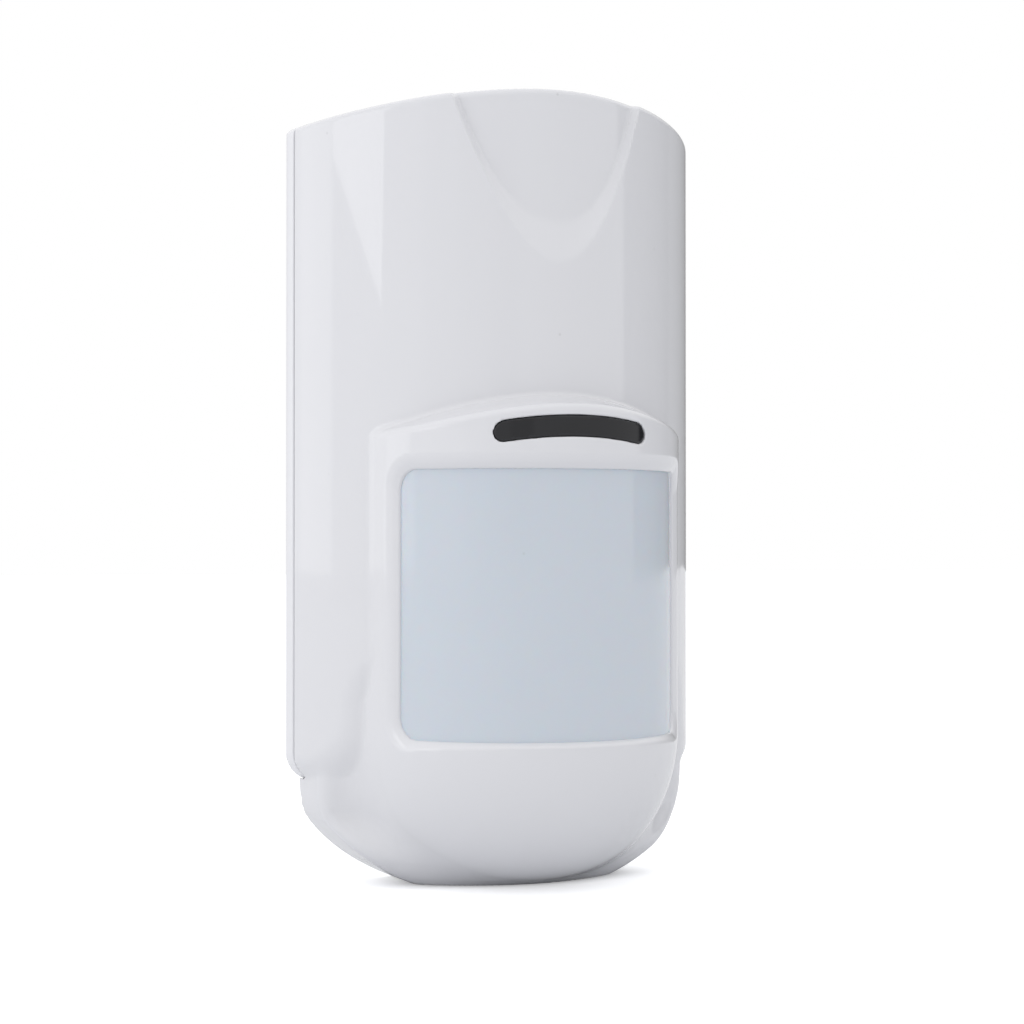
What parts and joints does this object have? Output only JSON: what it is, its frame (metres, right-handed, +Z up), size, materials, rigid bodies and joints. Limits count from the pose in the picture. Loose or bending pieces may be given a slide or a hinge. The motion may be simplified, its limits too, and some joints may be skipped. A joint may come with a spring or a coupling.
{
  "type": "motion sensor",
  "caption": "Wall-mounted infrared motion sensor: arched case with a hooded curved lens, LED window and bowl, hinged cover over a base with circuit board.",
  "frame": {"origin": "centre of the wall face of the rear base, half way up the case", "axes": "+X to the right seen from the front, +Y into the wall, +Z up"},
  "size_m": [0.069, 0.0372, 0.1226],
  "materials": {
    "cover_plastic": "high gloss moulded ABS",
    "base_plastic": "satin gloss moulded ABS",
    "lens_polyethylene": "smooth milky polyethylene",
    "smoked_acrylic": "smoked, polished",
    "screw_steel": "bright zinc plated",
    "washer_nylon": "natural nylon",
    "board_green": "solder resist over glass epoxy",
    "can_nickel": "nickel plated",
    "filter_dark": "coated silicon",
    "guard_rubber": "soft matt",
    "black_plastic": "moulded",
    "led_green": "tinted epoxy",
    "led_red": "tinted epoxy",
    "led_amber": "tinted epoxy",
    "terminal_plastic": "moulded polyamide",
    "brass_clamp": "nickel free brass",
    "spring_steel": "drawn wire",
    "plunger_plastic": "acetal",
    "switch_plastic": "moulded",
    "lever_plastic": "moulded",
    "trimmer_plastic": "moulded",
    "relay_plastic": "moulded",
    "chip_epoxy": "moulded epoxy",
    "capacitor_can": "drawn can",
    "jumper_plastic": "moulded"
  },
  "bodies": {
    "base": {"alarm_relay": "relay_plastic", "amber_led": "led_amber", "amplifier_chip": "chip_epoxy", "board_screws": "screw_steel", "chip_resistors": "chip_epoxy", "circuit_board": "board_green", "dip_block": "switch_plastic", "filter_capacitors": "capacitor_can", "green_led": "led_green", "jumper_pins": "black_plastic", "led_spacers": "black_plastic", "microcontroller": "chip_epoxy", "pyro_can": "can_nickel", "pyro_filter": "filter_dark", "pyro_guard": "guard_rubber", "pyro_leads": "can_nickel", "rear_base": "base_plastic", "red_led": "led_red", "tamper_body": "black_plastic", "terminal_block": "terminal_plastic", "terminal_clamps": "brass_clamp", "terminal_screws": "screw_steel", "trimmer_body": "trimmer_plastic"},
    "cover": {"front_cover": "cover_plastic", "fresnel_lens": "lens_polyethylene", "lens_retainer": "base_plastic", "led_window": "smoked_acrylic"},
    "plunger": {"tamper_plunger": "plunger_plastic", "tamper_spring": "spring_steel"},
    "switch_1": {"dip_lever_1": "lever_plastic"},
    "switch_2": {"dip_lever_2": "lever_plastic"},
    "switch_3": {"dip_lever_3": "lever_plastic"},
    "rotor": {"trimmer_rotor": "lever_plastic"},
    "lock_washer": {"lock_washer": "washer_nylon"},
    "lock_screw": {"cover_screw": "screw_steel"},
    "jumper": {"jumper_cap": "jumper_plastic"}
  },
  "joints": [
    {"name": "cover_swing", "type": "hinge", "parent": "base", "child": "cover", "pos_m": [0, -0.00455, 0.0613], "axis": [-1, 0, 0], "range_deg": [0, 45]},
    {"name": "tamper_plunger", "type": "slide", "parent": "base", "child": "plunger", "axis": [0, -1, 0], "range_m": [0, 0.0016], "stiffness_N_per_m": 150, "springref_m": 0.0026, "deforming": ["tamper_spring"]},
    {"name": "switch_1_slide", "type": "slide", "parent": "base", "child": "switch_1", "axis": [0, 0, 1], "range_m": [0, 0.0016]},
    {"name": "switch_2_slide", "type": "slide", "parent": "base", "child": "switch_2", "axis": [0, 0, 1], "range_m": [0, 0.0016]},
    {"name": "switch_3_slide", "type": "slide", "parent": "base", "child": "switch_3", "axis": [0, 0, 1], "range_m": [0, 0.0016]},
    {"name": "trimmer_turn", "type": "hinge", "parent": "base", "child": "rotor", "pos_m": [-0.0165, -0.012, 0.0115], "axis": [0, -1, 0], "range_deg": [-135, 135]},
    {"name": "jumper_pull", "type": "slide", "parent": "base", "child": "jumper", "axis": [0, -1, 0], "range_m": [0, 0.004]},
    {"name": "lock_travel", "type": "slide", "parent": "base", "child": "lock_washer", "axis": [0, 0, -1], "range_m": [0, 0.0033]},
    {"name": "lock_turn", "type": "hinge", "parent": "lock_washer", "child": "lock_screw", "pos_m": [0, -0.0065, -0.06], "axis": [0, 0, -1], "range_deg": [0, 1080]}
  ],
  "couplings": [
    {"joint": "tamper_plunger", "follows": "cover_swing", "m_per_rad": 0.0020351},
    {"joint": "lock_turn", "follows": "lock_travel", "rad_per_m": 5706.3}
  ]
}
